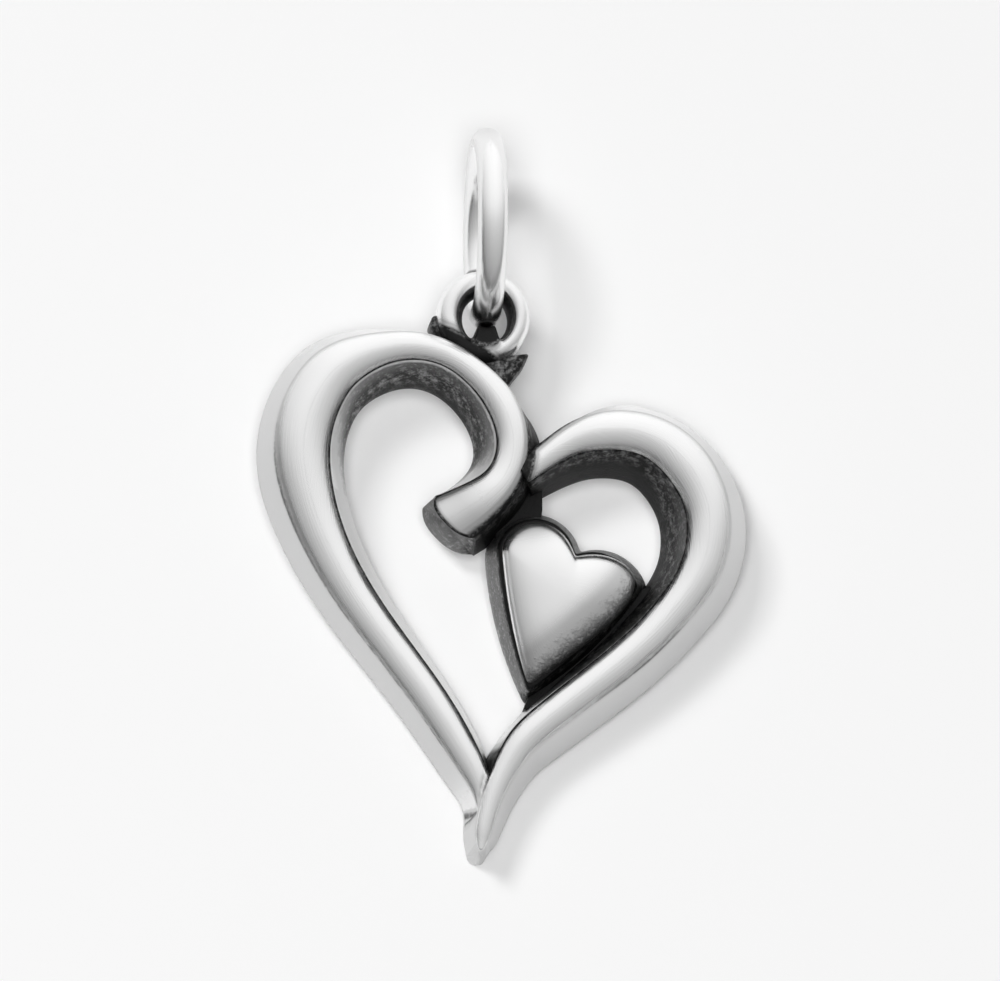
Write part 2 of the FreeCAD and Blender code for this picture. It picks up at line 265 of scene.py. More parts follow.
# Jump ring
# Round silver wire bent to a ring, closed at a joint that shows only as a hairline at its back, and tumbled
# to a bright polish. It hangs loose in the eyelet.
def closed_mesh(name, rings, levels, looped=False):
    """Rings of points as one closed skin: joined end to end, or closed by a pole in the middle of each end
    ring. Each level in the table becomes an attribute with one value or three for each point."""
    rows, columns = rings.shape[:2]
    points = rings.reshape(-1, 3)
    levels = {key: value.reshape(rows * columns, -1) for key, value in levels.items()}
    index = np.arange(rows * columns).reshape(rows, columns)
    lower = index if looped else index[:-1]
    upper = np.roll(index, -1, axis=0) if looped else index[1:]
    quads = np.stack([lower, np.roll(lower, -1, axis=1), np.roll(upper, -1, axis=1), upper], axis=-1)
    quads = quads.reshape(-1, 4)
    tris = np.concatenate([quads[:, [0, 1, 2]], quads[:, [0, 2, 3]]])
    fans = np.zeros((0, 3), int)
    if not looped:
        first, last = index[0], index[-1]
        near, far = rows * columns, rows * columns + 1
        fans = np.concatenate([
            np.stack([np.roll(first, -1), first, np.full(columns, near)], axis=-1),
            np.stack([last, np.roll(last, -1), np.full(columns, far)], axis=-1),
        ])
        points = np.concatenate([points, rings[0].mean(0)[None], rings[-1].mean(0)[None]])
        levels = {
            key: np.concatenate([value, value[:columns].mean(0)[None], value[-columns:].mean(0)[None]])
            for key, value in levels.items()
        }
    corners = points[np.concatenate([tris, fans])]
    volume = np.einsum("ij,ij->i", corners[:, 0], np.cross(corners[:, 1], corners[:, 2])).sum()
    if volume < 0:
        quads, fans = quads[:, ::-1], fans[:, ::-1]
    mesh = bpy.data.meshes.new(name)
    mesh.from_pydata(points.tolist(), [], quads.tolist() + fans.tolist())
    mesh.polygons.foreach_set("use_smooth", np.ones(len(mesh.polygons), bool))
    for key, value in levels.items():
        kind, field = ("FLOAT", "value") if value.shape[1] == 1 else ("FLOAT_VECTOR", "vector")
        mesh.attributes.new(key, kind, "POINT").data.foreach_set(field, value.astype(np.float32).ravel())
    mesh.update()
    thing = bpy.data.objects.new(name, mesh)
    bpy.context.scene.collection.objects.link(thing)
    return thing


def silver_material(name, mottle, hairlines):
    """Polished silver under black oxide, which also carries painted shade. The attribute read below sets how
    dark the oxide and the painted shade on a place are: low levels leave bare metal or a thin veil, high ones
    a black skin, and between them noise breaks it into specks. The run attribute, the distance along and
    across the piece in millimetres, carries the hairlines that polishing leaves."""
    material, shade = new_material(name)
    place = shade.node("ShaderNodeTexCoord", {}, {}, "Object")
    oxide_and_shade = shade.node("ShaderNodeAttribute", {"attribute_name": "oxide_and_shade"}, {}, "Fac")
    run = shade.node("ShaderNodeAttribute", {"attribute_name": "run"}, {}, "Vector")
    drawn_out = shade.node("ShaderNodeVectorMath", {"operation": "MULTIPLY"}, {0: run, 1: (0.5, 14.0, 1.0)})

    def noise(vector, scale, detail, roughness=0.5):
        sockets = {"Vector": vector, "Scale": scale, "Detail": detail, "Roughness": roughness}
        return shade.node("ShaderNodeTexNoise", {}, sockets)

    hairline = noise(drawn_out, scale=1.6, detail=3.0)
    cloud = noise(place, scale=700.0, detail=2.0)
    blotch = noise(place, scale=3200.0, detail=4.0, roughness=0.6)
    grain = noise(place, scale=11000.0, detail=3.0, roughness=0.6)
    pit = shade.node("ShaderNodeTexVoronoi", {}, {"Vector": place, "Scale": 7000.0}, "Distance")
    rough_skin = 0.6 * blotch + 0.4 * grain
    black_share = (oxide_and_shade + (rough_skin - 0.5) * mottle).rise(0.34, 0.74)
    worn = rough_skin.rise(0.44, 0.66) * (1 - oxide_and_shade.rise(0.80, 1.0))
    veil = oxide_and_shade.rise(0.0, 0.25)
    bare = veil.blend(cloud.blend(grey(0.90), grey(0.95)), grey(0.57))
    skin = worn.blend(grey(0.03), grey(0.36))
    height = hairline * hairlines + cloud * 0.5 + black_share * (blotch * 3.0 + grain * 1.5 + pit.rise(0.0, 0.4))
    bump_sockets = {"Strength": 0.6, "Distance": 0.000012, "Height": height}
    bump = shade.node("ShaderNodeBump", {}, bump_sockets, "Normal")
    metal = shade.node(
        "ShaderNodeBsdfPrincipled",
        {},
        {
            "Base Color": black_share.blend(bare, skin),
            "Metallic": 1.0,
            "Roughness": 0.16 + 0.06 * cloud + 0.05 * hairline + 0.12 * veil + 0.22 * black_share,
            "Normal": bump,
        },
    )
    shade.node("ShaderNodeOutputMaterial", {}, {"Surface": metal})
    return material


ring_radius, wire_radius = 2.878, 0.495
joint_turn, joint_width, joint_depth = math.radians(205), math.radians(1.2), 0.05
underside_z, underside_fade = -5.62, 0.10
top_z, top_fade = 0.1, 0.6


def ring_surface(rows, columns):
    """Torus: a circle of the wire's radius carried round a circle of the ring's radius in the YZ plane. At
    the joint the wire's radius dips by joint_depth, as a bell curve of the turn. Oxide lies in the joint,
    painted shade blackens the ring's underside in the eyelet, and the wire's two sides and the ring's top
    are a little greyer."""
    turn = np.linspace(0, 2 * math.pi, rows, endpoint=False)[:, None]
    around = np.linspace(0, 2 * math.pi, columns, endpoint=False)[None, :]
    dip = np.exp(-(((turn - joint_turn) / joint_width) ** 2))
    wire = wire_radius - joint_depth * dip
    reach = ring_radius + wire * np.cos(around)
    points = np.stack([
        wire * np.sin(around) + 0 * reach,
        -reach * np.cos(turn),
        ring_middle_z + reach * np.sin(turn),
    ], axis=-1)
    run = np.stack([turn * ring_radius + 0 * around, around * wire_radius + 0 * turn, 0 * reach], axis=-1)
    oxide_and_shade = 0.9 * dip + 0 * around
    # Painted shade: inside the eyelet's hole the wire's underside turns black
    oxide_and_shade = np.maximum(oxide_and_shade, np.clip((underside_z - points[..., 2]) / underside_fade, 0, 1))
    oxide_and_shade = np.maximum(oxide_and_shade, 0.15 * np.sin(around) ** 6 + 0 * reach)
    oxide_and_shade = np.maximum(oxide_and_shade, 0.11 * np.clip((points[..., 2] - top_z) / top_fade, 0, 1))
    return points, run, oxide_and_shade


ring_points, ring_run, ring_oxide_and_shade = ring_surface(rows=720, columns=48)
ring_levels = {"run": ring_run, "oxide_and_shade": ring_oxide_and_shade}
jump_ring = closed_mesh("jump_ring_wire", ring_points * MM, ring_levels, looped=True)
jump_ring.data.materials.append(silver_material("ring_wire_silver", mottle=0.6, hairlines=0.5))
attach(jump_ring, "ring")
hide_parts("jump_ring")


# The two limbs
# Two tapering bars with a domed, polished front and drafted walls, cast in one with the rest. The left one
# ends in a flared scroll, the right one in the heart's point. Black oxide is left in the groove at the dome's
# foot and on the inner walls; oxide and painted shade darken the creases between the limbs and the dome's
# outer flank, and wear has polished the rest.
heart_width, heart_height = 16.3, 18.4
lobe_line = -7.19
limb_width, wall_flare, dome_height = 1.9, 0.57, 0.5
front_y, back_y = -1.0, 1.0
inset = 0.012

# Each station: across and below the lobe line in shares of the heart, half width in shares of limb_width,
# flare of the inner and the outer wall in shares of wall_flare, the oxide on the inner wall and on the outer
# wall, and the oxide and painted shade on the outer edge and the dome's outer flank
left_stations = np.array([
    (-0.006, 0.832, 0.110, 0.45, 0.60, 0.30, 0.10, 0.30),
    (-0.010, 0.783, 0.160, 0.75, 0.45, 0.25, 0.10, 0.30),
    (-0.040, 0.725, 0.260, 0.90, 0.50, 0.15, 0.20, 0.45),
    (-0.110, 0.624, 0.310, 1.00, 0.48, 0.15, 0.20, 0.45),
    (-0.193, 0.525, 0.320, 1.00, 0.46, 0.18, 0.20, 0.45),
    (-0.274, 0.427, 0.350, 1.00, 0.52, 0.20, 0.20, 0.50),
    (-0.341, 0.317, 0.400, 1.00, 0.62, 0.25, 0.20, 0.58),
    (-0.380, 0.200, 0.485, 0.95, 0.75, 0.33, 0.20, 0.62),
    (-0.375, 0.107, 0.500, 0.95, 0.80, 0.52, 0.18, 0.30),
    (-0.332, 0.028, 0.465, 0.95, 0.90, 0.66, 0.15, 0.10),
    (-0.275, -0.009, 0.385, 1.00, 1.00, 0.74, 0.10, 0.00),
    (-0.209, -0.029, 0.285, 1.00, 0.85, 0.78, 0.06, 0.00),
    (-0.142, -0.034, 0.252, 1.00, 0.60, 0.80, 0.10, 0.00),
    (-0.077, -0.018, 0.232, 1.00, 0.35, 0.80, 0.25, 0.00),
    (-0.021, 0.018, 0.240, 1.00, 0.20, 0.80, 0.20, 0.00),
    (0.024, 0.063, 0.280, 1.00, 0.22, 0.78, 0.80, 0.30),
    (0.051, 0.121, 0.290, 1.00, 0.95, 0.72, 1.00, 0.75),
    (0.048, 0.180, 0.300, 1.00, 1.00, 0.60, 1.00, 1.00),
    (0.013, 0.233, 0.350, 0.70, 1.00, 0.35, 1.00, 1.00),
    (-0.066, 0.281, 0.490, 0.25, 0.50, 0.30, 1.00, 1.00),
])
right_stations = np.array([
    (0.070, 0.200, 0.200, 0.80, 0.55, 1.00, 1.00, 1.00),
    (0.116, 0.167, 0.235, 0.90, 0.35, 1.00, 1.00, 1.00),
    (0.172, 0.133, 0.290, 1.00, 0.30, 1.00, 0.80, 0.80),
    (0.222, 0.120, 0.345, 1.00, 0.55, 1.00, 0.35, 0.35),
    (0.273, 0.116, 0.370, 1.00, 1.00, 1.00, 0.06, 0.00),
    (0.325, 0.124, 0.385, 1.00, 1.00, 1.00, 0.08, 0.00),
    (0.369, 0.144, 0.405, 1.05, 1.05, 0.95, 0.12, 0.10),
    (0.405, 0.175, 0.425, 1.10, 1.10, 0.88, 0.16, 0.25),
    (0.432, 0.211, 0.415, 1.15, 1.15, 0.84, 0.20, 0.35),
    (0.450, 0.255, 0.400, 1.20, 1.20, 0.80, 0.20, 0.40),
    (0.453, 0.300, 0.395, 1.20, 1.20, 0.78, 0.20, 0.40),
    (0.446, 0.343, 0.380, 1.15, 1.15, 0.78, 0.20, 0.40),
    (0.427, 0.385, 0.360, 1.10, 1.10, 0.85, 0.20, 0.40),
    (0.399, 0.423, 0.335, 1.05, 1.05, 0.88, 0.20, 0.40),
    (0.333, 0.493, 0.315, 1.00, 1.00, 0.80, 0.20, 0.62),
    (0.257, 0.552, 0.310, 1.00, 1.00, 0.80, 0.20, 0.60),
    (0.176, 0.608, 0.295, 0.85, 1.00, 0.80, 0.20, 0.40),
    (0.097, 0.664, 0.285, 0.55, 0.95, 0.15, 0.20, 0.40),
    (0.062, 0.698, 0.265, 0.40, 0.85, 0.13, 0.20, 0.35),
    (0.036, 0.738, 0.220, 0.78, 0.80, 0.15, 0.20, 0.35),
    (0.012, 0.783, 0.190, 0.62, 0.75, 0.25, 0.20, 0.35),
    (-0.005, 0.834, 0.165, 0.60, 0.66, 0.20, 0.20, 0.35),
    (-0.011, 0.862, 0.140, 0.48, 0.56, 0.20, 0.20, 0.30),
    (-0.013, 0.875, 0.090, 0.28, 0.28, 0.20, 0.20, 0.30),
])


def through_stations(rows, steps):
    """Smooth curve through a table's rows: between two rows the cubic whose slope at each is half the step
    from the row before it to the row after. Gives the values and the station count at each place."""
    padded = np.concatenate([rows[:1], rows, rows[-1:]])
    share = (np.arange(steps) / steps)[None, :, None]
    p0, p1, p2, p3 = (padded[k:len(padded) - 3 + k, None, :] for k in range(4))
    a, b, c = 2 * p1, p2 - p0, 2 * p0 - 5 * p1 + 4 * p2 - p3
    d = 3 * (p1 - p2) + p3 - p0
    values = 0.5 * (a + b * share + c * share**2 + d * share**3)
    values = np.concatenate([values.reshape(-1, rows.shape[1]), rows[-1:]])
    return values, np.arange(len(values)) / steps


def evened(values, passes):
    """Even out values along their first axis: each pass takes every inner one halfway to the mean of its
    neighbours."""
    values = values.copy()
    for _ in range(passes):
        values[1:-1] = (values[:-2] + 2 * values[1:-1] + values[2:]) / 4
    return values


# The lip's radius and the groove's reach to both sides of the wall's line, its width and its depth, all in
# shares of the ledge, and the radius of the edge round the back
lip_share = 0.38
groove_inside_share, groove_outside_share, groove_width_share, groove_depth_share = 0.45, 0.55, 0.62, 0.4
back_edge = 0.07
dome_zone, groove_zone, lip_zone, wall_zone, edge_zone, back_zone = range(6)


def half_section(front, back, dome, ledge, grooved):
    """One side of a limb's section from the crown to the middle of the flat back: an arc of the dome, a
    groove at its foot or none, a rounded lip, the drafted wall, a rounded edge and the back. Each size has
    one value for each place along the limb. Gives the distance from the spine, the depth and the zone of
    each point."""
    lip = lip_share * ledge
    slope = 2 * np.arctan(dome / front)
    foot = front - groove_inside_share * ledge if grooved else front - lip * (1 - np.sin(slope))
    brow = front + groove_outside_share * ledge if grooved else front
    radius = (foot**2 + dome**2) / (2 * dome)
    angle = np.linspace(0, 1, 22)[None, :] * np.arcsin(foot / radius)
    parts = [(radius * np.sin(angle), front_y - dome + radius * (1 - np.cos(angle)), dome_zone)]
    start = 0 * front if grooved else slope
    if grooved:
        share = np.linspace(0, 1, 9)[None, 1:]
        sunk = front_y + groove_depth_share * ledge * np.sin(math.pi * share) ** 1.3
        parts.append((foot + ledge * groove_width_share * share, sunk, groove_zone))
    corner = start + (math.pi / 2 - start) * np.linspace(0, 1, 6)[None, 1:]
    lip_y = front_y + lip * np.cos(start)
    parts.append((brow - lip + lip * np.sin(corner), lip_y - lip * np.cos(corner), lip_zone))
    share = np.linspace(0, 1, 12)[None, 1:]
    edge = np.minimum(back_edge, 0.3 * back)
    parts.append((brow + (back - brow) * share, lip_y + (back_y - edge - lip_y) * share, wall_zone))
    corner = np.linspace(0, math.pi / 2, 6)[None, 1:]
    parts.append((back - edge * (1 - np.cos(corner)), back_y - edge + edge * np.sin(corner), edge_zone))
    share = np.linspace(0, 1, 7)[None, 1:]
    parts.append(((back - edge) * (1 - share), back_y + 0 * back * share, back_zone))
    away = np.concatenate([part[0] for part in parts], axis=1)
    depth = np.concatenate([part[1] for part in parts], axis=1)
    zone = np.concatenate([np.full(part[0].shape, part[2]) for part in parts], axis=1)
    return away, depth, zone


# Passes that even out the stations and the inner wall, and how many stations the end's lean and swell reach
station_passes, wall_passes = 36, 120
lean_reach, swell_reach = 0.5, 0.8


def limb_surface(stations, steps, end_flare, end_bulge, end_skew, back_lift, ledges, lip_oxide_share):
    """A limb's skin: the two halves of the section, carried along the spine square to it. The end leans out
    by end_flare towards the back, swells by end_bulge at its middle and is cut askew by end_skew, and the
    back lies in by back_lift. Towards the back the inner wall is evened out along the limb, as the bends are
    tight there. The ledges are the sizes that the inner and the outer lip go by, and the inner lip has
    lip_oxide_share of its wall's oxide. Gives the points, their run, their level of oxide and painted shade,
    the spine and the zones; a row of the spine holds its place and the half widths at the front and the back."""
    values, count = through_stations(stations, steps)
    values = evened(values, station_passes)
    centre = np.stack([values[:, 0] * heart_width, lobe_line - values[:, 1] * heart_height], axis=-1)
    forward = np.gradient(centre, axis=0)
    forward /= np.linalg.norm(forward, axis=1, keepdims=True)
    outward = np.stack([-forward[:, 1], forward[:, 0]], axis=-1)
    front = (values[:, 2] * limb_width - inset)[:, None]
    inner_back = front + (values[:, 3] * wall_flare)[:, None]
    outer_back = front + (values[:, 4] * wall_flare)[:, None]
    back = (inner_back + outer_back) / 2
    dome = (2 * values[:, 2] * dome_height - inset)[:, None]
    scale = np.clip(front / 0.5, 0.3, 1.0) ** 2
    inner = half_section(front, inner_back, dome, ledges[0] * scale, True)
    outer = half_section(front, outer_back, dome, ledges[1] * scale, False)
    away = np.concatenate([outer[0], -inner[0][:, -2:0:-1]], axis=1)
    depth = np.concatenate([outer[1], inner[1][:, -2:0:-1]], axis=1)
    zone = np.concatenate([outer[2], inner[2][:, -2:0:-1]], axis=1)

    last = count[-1]
    tilt = np.clip((count - last + lean_reach) / lean_reach, 0, 1)[:, None]
    swell = np.clip((count - last + swell_reach) / swell_reach, 0, 1)[:, None] ** 1.5
    half_here = front + (back - front) * np.clip((depth - front_y) / (back_y - front_y), 0, 1)
    rounded = np.clip(1 - np.abs(away / half_here) ** 2.4, 0, 1) ** 0.7
    ahead = end_flare * tilt * (depth - front_y) / (back_y - front_y) + end_bulge * swell * rounded
    ahead = ahead - end_skew * swell * away
    depth = depth - back_lift * (zone >= edge_zone)
    points = np.stack([
        centre[:, :1] + outward[:, :1] * away + forward[:, :1] * ahead,
        depth,
        centre[:, 1:] + outward[:, 1:] * away + forward[:, 1:] * ahead,
    ], axis=-1)

    towards_back = np.clip((depth - front_y - 0.2) / 0.8, 0, 1) * (away < 0)
    points = points + (evened(points, wall_passes) - points) * towards_back[..., None]

    travel = np.concatenate([[0.0], np.cumsum(np.linalg.norm(np.diff(centre, axis=0), axis=1))])[:, None]
    sideways = np.diff(away, axis=1, prepend=away[:, :1])
    backwards = np.diff(depth, axis=1, prepend=depth[:, :1])
    across = np.cumsum(np.hypot(sideways, backwards), axis=1)
    run = np.stack([travel + 0 * away, across, 0 * away], axis=-1)
    wall_oxide = np.where(away < 0, values[:, 5:6], values[:, 6:7])
    wall_oxide = wall_oxide + 0.3 * (wall_oxide > 0.3) * np.clip(depth, -0.6, 0.6) / 1.2
    edge_oxide_and_shade = np.maximum(values[:, 7:8], 0.22)
    lip_darkness = np.where(away < 0, lip_oxide_share * wall_oxide, edge_oxide_and_shade)
    zones = [zone == groove_zone, zone == lip_zone, zone >= wall_zone]
    oxide_and_shade = np.select(zones, [0.9, lip_darkness, wall_oxide], 0.0)
    # Painted shade with the oxide: the dome greys towards its outer edge, more where the edge column is high
    start = 0.72 - 0.45 * values[:, 7:8] ** 2
    flank_shade = np.clip((away / front - start) / (0.98 - start), 0, 1) ** 2
    oxide_and_shade = np.where(zone == dome_zone, flank_shade * edge_oxide_and_shade, oxide_and_shade)
    oxide_and_shade = np.where(zone == back_zone, 0.12, oxide_and_shade)
    return points, run, oxide_and_shade, np.concatenate([centre, front, back], axis=1), zone


cap_draws = np.array([0.985, 0.95, 0.85, 0.65, 0.4, 0.15])


def with_end_cap(points, run, oxide_and_shade, cap_tarnish, bulge, forward):
    """Close a limb's last ring: more rings, drawn in towards its middle by cap_draws, which swell forward
    by bulge."""
    middle = points[-1].mean(0)
    draw = cap_draws[:, None, None]
    rings = middle + (points[-1][None] - middle) * draw + forward * bulge * (1 - draw**2)
    runs = run[-1][None] + np.array([1.0, 0.0, 0.0]) * (1 - draw)
    caps = np.full(rings.shape[:2], cap_tarnish)
    return (
        np.concatenate([points, rings]),
        np.concatenate([run, runs]),
        np.concatenate([oxide_and_shade, caps]),
    )


def edge_gap(points, spine):
    """Distance across the face from each point to a limb's side: the least distance to its spine, less the
    half width there at the point's own depth."""
    flat = points[..., [0, 2]].reshape(-1, 1, 2)
    share = np.clip((points[..., 1].reshape(-1, 1) - front_y) / (back_y - front_y), 0, 1)
    rows = spine[::3]
    half = rows[None, :, 2] + (rows[None, :, 3] - rows[None, :, 2]) * share
    gap = np.linalg.norm(flat - rows[None, :, :2], axis=-1) - half
    return gap.min(axis=1).reshape(points.shape[:-1])


def bell(distance, reach):
    """1 at and inside a distance of 0, fading as a bell curve over reach."""
    return np.exp(-((np.clip(distance, 0, None) / reach) ** 2))


left_points, left_run, left_oxide_and_shade, left_spine, left_zone = limb_surface(
    left_stations, steps=12, end_flare=0.10, end_bulge=0.52, end_skew=0.19, back_lift=0.012,
    ledges=(0.08, 0.16), lip_oxide_share=0.5)
right_points, right_run, right_oxide_and_shade, right_spine, right_zone = limb_surface(
    right_stations, steps=10, end_flare=0.18, end_bulge=0.26, end_skew=0.0, back_lift=0.0,
    ledges=(0.085, 0.16), lip_oxide_share=1.0)

# Oxide and painted shade in the crease where the limbs meet, darker the nearer the other limb, wide beside
# the scroll and narrow at the heart's point. Only the part of each limb that comes out of the other counts,
# and the ground back has none.
open_x, high_z, low_z, ground_y = 1.9, -16.0, -19.0, 0.9
right_open = right_spine[right_spine[:, 0] > open_x]
right_beside = right_open[right_open[:, 1] > high_z]
right_below = right_spine[right_spine[:, 1] < low_z]
left_low = left_spine[left_spine[:, 1] < low_z]
left_high = left_spine[left_spine[:, 1] > high_z]
left_crease_oxide_and_shade = 0.95 * bell(edge_gap(left_points, right_beside), 0.16)
right_crease_oxide_and_shade = 0.95 * bell(edge_gap(right_points, left_high) - 0.10, 0.16)
left_seam = 0.70 * bell(np.abs(edge_gap(left_points, right_below)), 0.05) * (left_zone >= wall_zone)
right_seam = 0.70 * bell(np.abs(edge_gap(right_points, left_low)), 0.08) * (right_zone >= wall_zone)
left_dark = np.maximum(left_crease_oxide_and_shade, left_seam) * (left_points[..., 1] < ground_y)
right_dark = np.maximum(right_crease_oxide_and_shade, right_seam) * (right_points[..., 1] < ground_y)
left_oxide_and_shade = np.maximum(left_oxide_and_shade, left_dark)
right_oxide_and_shade = np.maximum(right_oxide_and_shade, right_dark)

# At the point the left limb dives under the right one. The dark lines inside the heart end in a black corner
# there, oxide and painted shade where the limbs meet, and the right limb is bright below it to its end.
corner_x, corner_z, corner_reach = 0.2, -20.65, 0.38
sunk_y = front_y + 0.02
past_corner = np.clip((corner_z - 0.2 - left_points[..., 2]) / 0.4, 0, 1)
under = bell(edge_gap(left_points, right_below), 0.12) * past_corner
left_points[..., 1] = left_points[..., 1] + np.clip(sunk_y - left_points[..., 1], 0, None) * under
left_oxide_and_shade = left_oxide_and_shade * np.where(left_zone < wall_zone, 1 - under, 1)
below = np.clip((corner_z - 0.45 - right_points[..., 2]) / 0.25, 0, 1) * (right_zone < wall_zone)
right_oxide_and_shade = np.where(right_oxide_and_shade > 0.5, right_oxide_and_shade * (1 - 0.95 * below), right_oxide_and_shade)
for points, oxide_and_shade in ((left_points, left_oxide_and_shade), (right_points, right_oxide_and_shade)):
    off = np.hypot(points[..., 0] - corner_x, 0.6 * (points[..., 2] - corner_z))
    on_wall = (points[..., 1] > front_y - 0.005) * (points[..., 1] < ground_y)
    corner_shade = 0.95 * bell(off - 0.12, corner_reach) * on_wall
    oxide_and_shade[:] = np.maximum(oxide_and_shade, corner_shade)

# The scroll's end has the same dark line round its front edge as the limb's sides, and painted shade greys
# its dome towards the end. Its end face turns black towards the crease, with oxide and painted shade.
to_end = left_run[-1, 0, 0] - left_run[..., 0]
end_line = np.exp(-((to_end / 0.09) ** 2)) * (left_zone < wall_zone)
end_painted_shade = 0.17 * np.clip((2.2 - to_end) / 1.6, 0, 1) * (left_zone == dome_zone)
left_oxide_and_shade = np.maximum(left_oxide_and_shade, np.maximum(end_line, end_painted_shade))

left_forward = np.array([-0.80, 0.0, -0.60])
left_skin = with_end_cap(
    left_points, left_run, left_oxide_and_shade, cap_tarnish=0.62, bulge=0.05, forward=left_forward)
end_face = slice(-len(cap_draws), None)
end_face_crease_shade = np.clip((left_skin[0][end_face, :, 0] + 0.9) / 0.5, 0, 1)
left_skin[2][end_face] = np.maximum(left_skin[2][end_face], end_face_crease_shade)
right_forward = np.array([-0.1, 0.0, -1.0])
right_skin = with_end_cap(
    right_points, right_run, right_oxide_and_shade, cap_tarnish=0.22, bulge=0.05, forward=right_forward)
limb_silver = silver_material("limb_silver", mottle=0.75, hairlines=1.0)
for name, node, skin in (
    ("left_limb_skin", "left_scroll_limb", left_skin),
    ("right_limb_skin", "right_limb", right_skin),
):
    limb = closed_mesh(name, skin[0] * MM, {"run": skin[1], "oxide_and_shade": skin[2]})
    limb.data.materials.append(limb_silver)
    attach(limb, "charm")
    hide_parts(node)


# Small heart
# A puffed, polished heart on a wider drafted base, cast in one with the rest. The base is left black with
# oxide and darkened by painted shadow near the right limb, a black line runs round the foot of the puff, and
# oxide specks and painted shade fade onto its lower right, towards the right limb.

# Each corner: across and below the lobe line in shares of the heart, and how far the arc that starts there
# bulges, as a share of its chord
puff_corners = np.array([
    (0.177, 0.349, 0.42),
    (0.031, 0.331, 0.032),
    (0.084, 0.582, 0.035),
    (0.322, 0.404, 0.215),
])
base_front_corners = np.array([
    (0.179, 0.342, 0.42),
    (0.025, 0.329, 0.035),
    (0.085, 0.592, 0.035),
    (0.306, 0.398, 0.22),
])
base_back_corners = np.array([
    (0.200, 0.322, 0.42),
    (0.002, 0.332, 0.052),
    (0.085, 0.607, 0.075),
    (0.339, 0.395, 0.23),
])
heart_middle = np.array([0.172 * heart_width, lobe_line - 0.440 * heart_height])


def heart_outline(corners, per_arc, softness):
    """Closed outline of four arcs, each from one corner to the next with its rise as a share of its chord,
    then softened by averaging each point with its neighbours so that no corner is knife sharp."""
    starts = np.stack([corners[:, 0] * heart_width, lobe_line - corners[:, 1] * heart_height], axis=-1)
    chord = np.roll(starts, -1, axis=0) - starts
    length = np.linalg.norm(chord, axis=1)[:, None]
    half_angle = 2 * np.arctan(2 * corners[:, 2])[:, None]
    radius = length / (2 * np.sin(half_angle))
    angle = half_angle * np.linspace(-1, 1, per_arc, endpoint=False)[None, :]
    along = 0.5 + radius * np.sin(angle) / length
    rise = radius * (np.cos(angle) - np.cos(half_angle)) / length
    outward = np.stack([chord[:, 1], -chord[:, 0]], axis=-1)
    outline = starts[:, None] + chord[:, None] * along[..., None] + outward[:, None] * rise[..., None]
    outline = outline.reshape(-1, 2)
    for _ in range(softness):
        outline = (np.roll(outline, 1, axis=0) + 2 * outline + np.roll(outline, -1, axis=0)) / 4
    return outline


def stacked_surface(outlines, draws, depths):
    """Rings for a closed skin: each outline drawn in towards the small heart's middle, at its depth."""
    rings = heart_middle + (outlines - heart_middle) * draws[:, None, None]
    depth = np.broadcast_to(depths[:, None], rings.shape[:2])
    points = np.stack([rings[..., 0], depth, rings[..., 1]], axis=-1)
    travel = np.cumsum(np.linalg.norm(np.diff(points, axis=1, prepend=points[:, :1]), axis=-1), axis=1)
    run = np.stack([travel, depth + draws[:, None] * 2, 0 * depth], axis=-1)
    return points, run


per_arc = 60
puff_foot, puff_rise = 0.48, 0.855
puff_outline = heart_outline(puff_corners, per_arc, softness=6)

# Rows from the pillow's foot to its top: the share that the outline is drawn in to, and the share of the rise
puff_table = np.array([
    (0.985, 0.00), (1.00, 0.05), (0.998, 0.14), (0.985, 0.28), (0.955, 0.42), (0.90, 0.56),
    (0.81, 0.70), (0.69, 0.82), (0.54, 0.91), (0.37, 0.965), (0.19, 0.993), (0.05, 1.00),
])
puff_levels, _ = through_stations(puff_table, 5)
puff_levels = np.concatenate([[(0.5, 0.0), (0.9, 0.0)], puff_levels])
puff_depth = -puff_foot - puff_rise * puff_levels[:, 1]

# The right shoulder, where the last arc starts, is rounder than the other corners, and all of them soften
# towards the top
softer = heart_outline(puff_corners, per_arc, softness=260)
right_shoulder = 3 * per_arc
shoulder = bell(np.abs(np.arange(len(puff_outline)) - right_shoulder), 18)[:, None]
puff_outline = puff_outline + (softer - puff_outline) * shoulder
puff_outlines = puff_outline + (softer - puff_outline) * np.clip(puff_levels[:, 1] - 0.1, 0, 1)[:, None, None]
puff_points, puff_run = stacked_surface(puff_outlines, puff_levels[:, 0], puff_depth)
lower_right = edge_gap(puff_points, right_spine)
foot_line = np.clip(1.15 - 9 * puff_levels[:, 1], 0, 1)[:, None] * np.ones(len(puff_outline))
# Painted shade with oxide specks: the puff darkens towards the right limb
puff_oxide_and_shade = np.maximum(foot_line, 0.70 * bell(lower_right - 0.4, 1.1))
puff = closed_mesh("small_heart_pillow", puff_points * MM, {"run": puff_run, "oxide_and_shade": puff_oxide_and_shade})
puff.data.materials.append(silver_material("pillow_silver", mottle=1.1, hairlines=0.5))
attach(puff, "charm")
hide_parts("small_heart_puff")

base_front = heart_outline(base_front_corners, per_arc, softness=6)
base_back = heart_outline(base_back_corners, per_arc, softness=4)

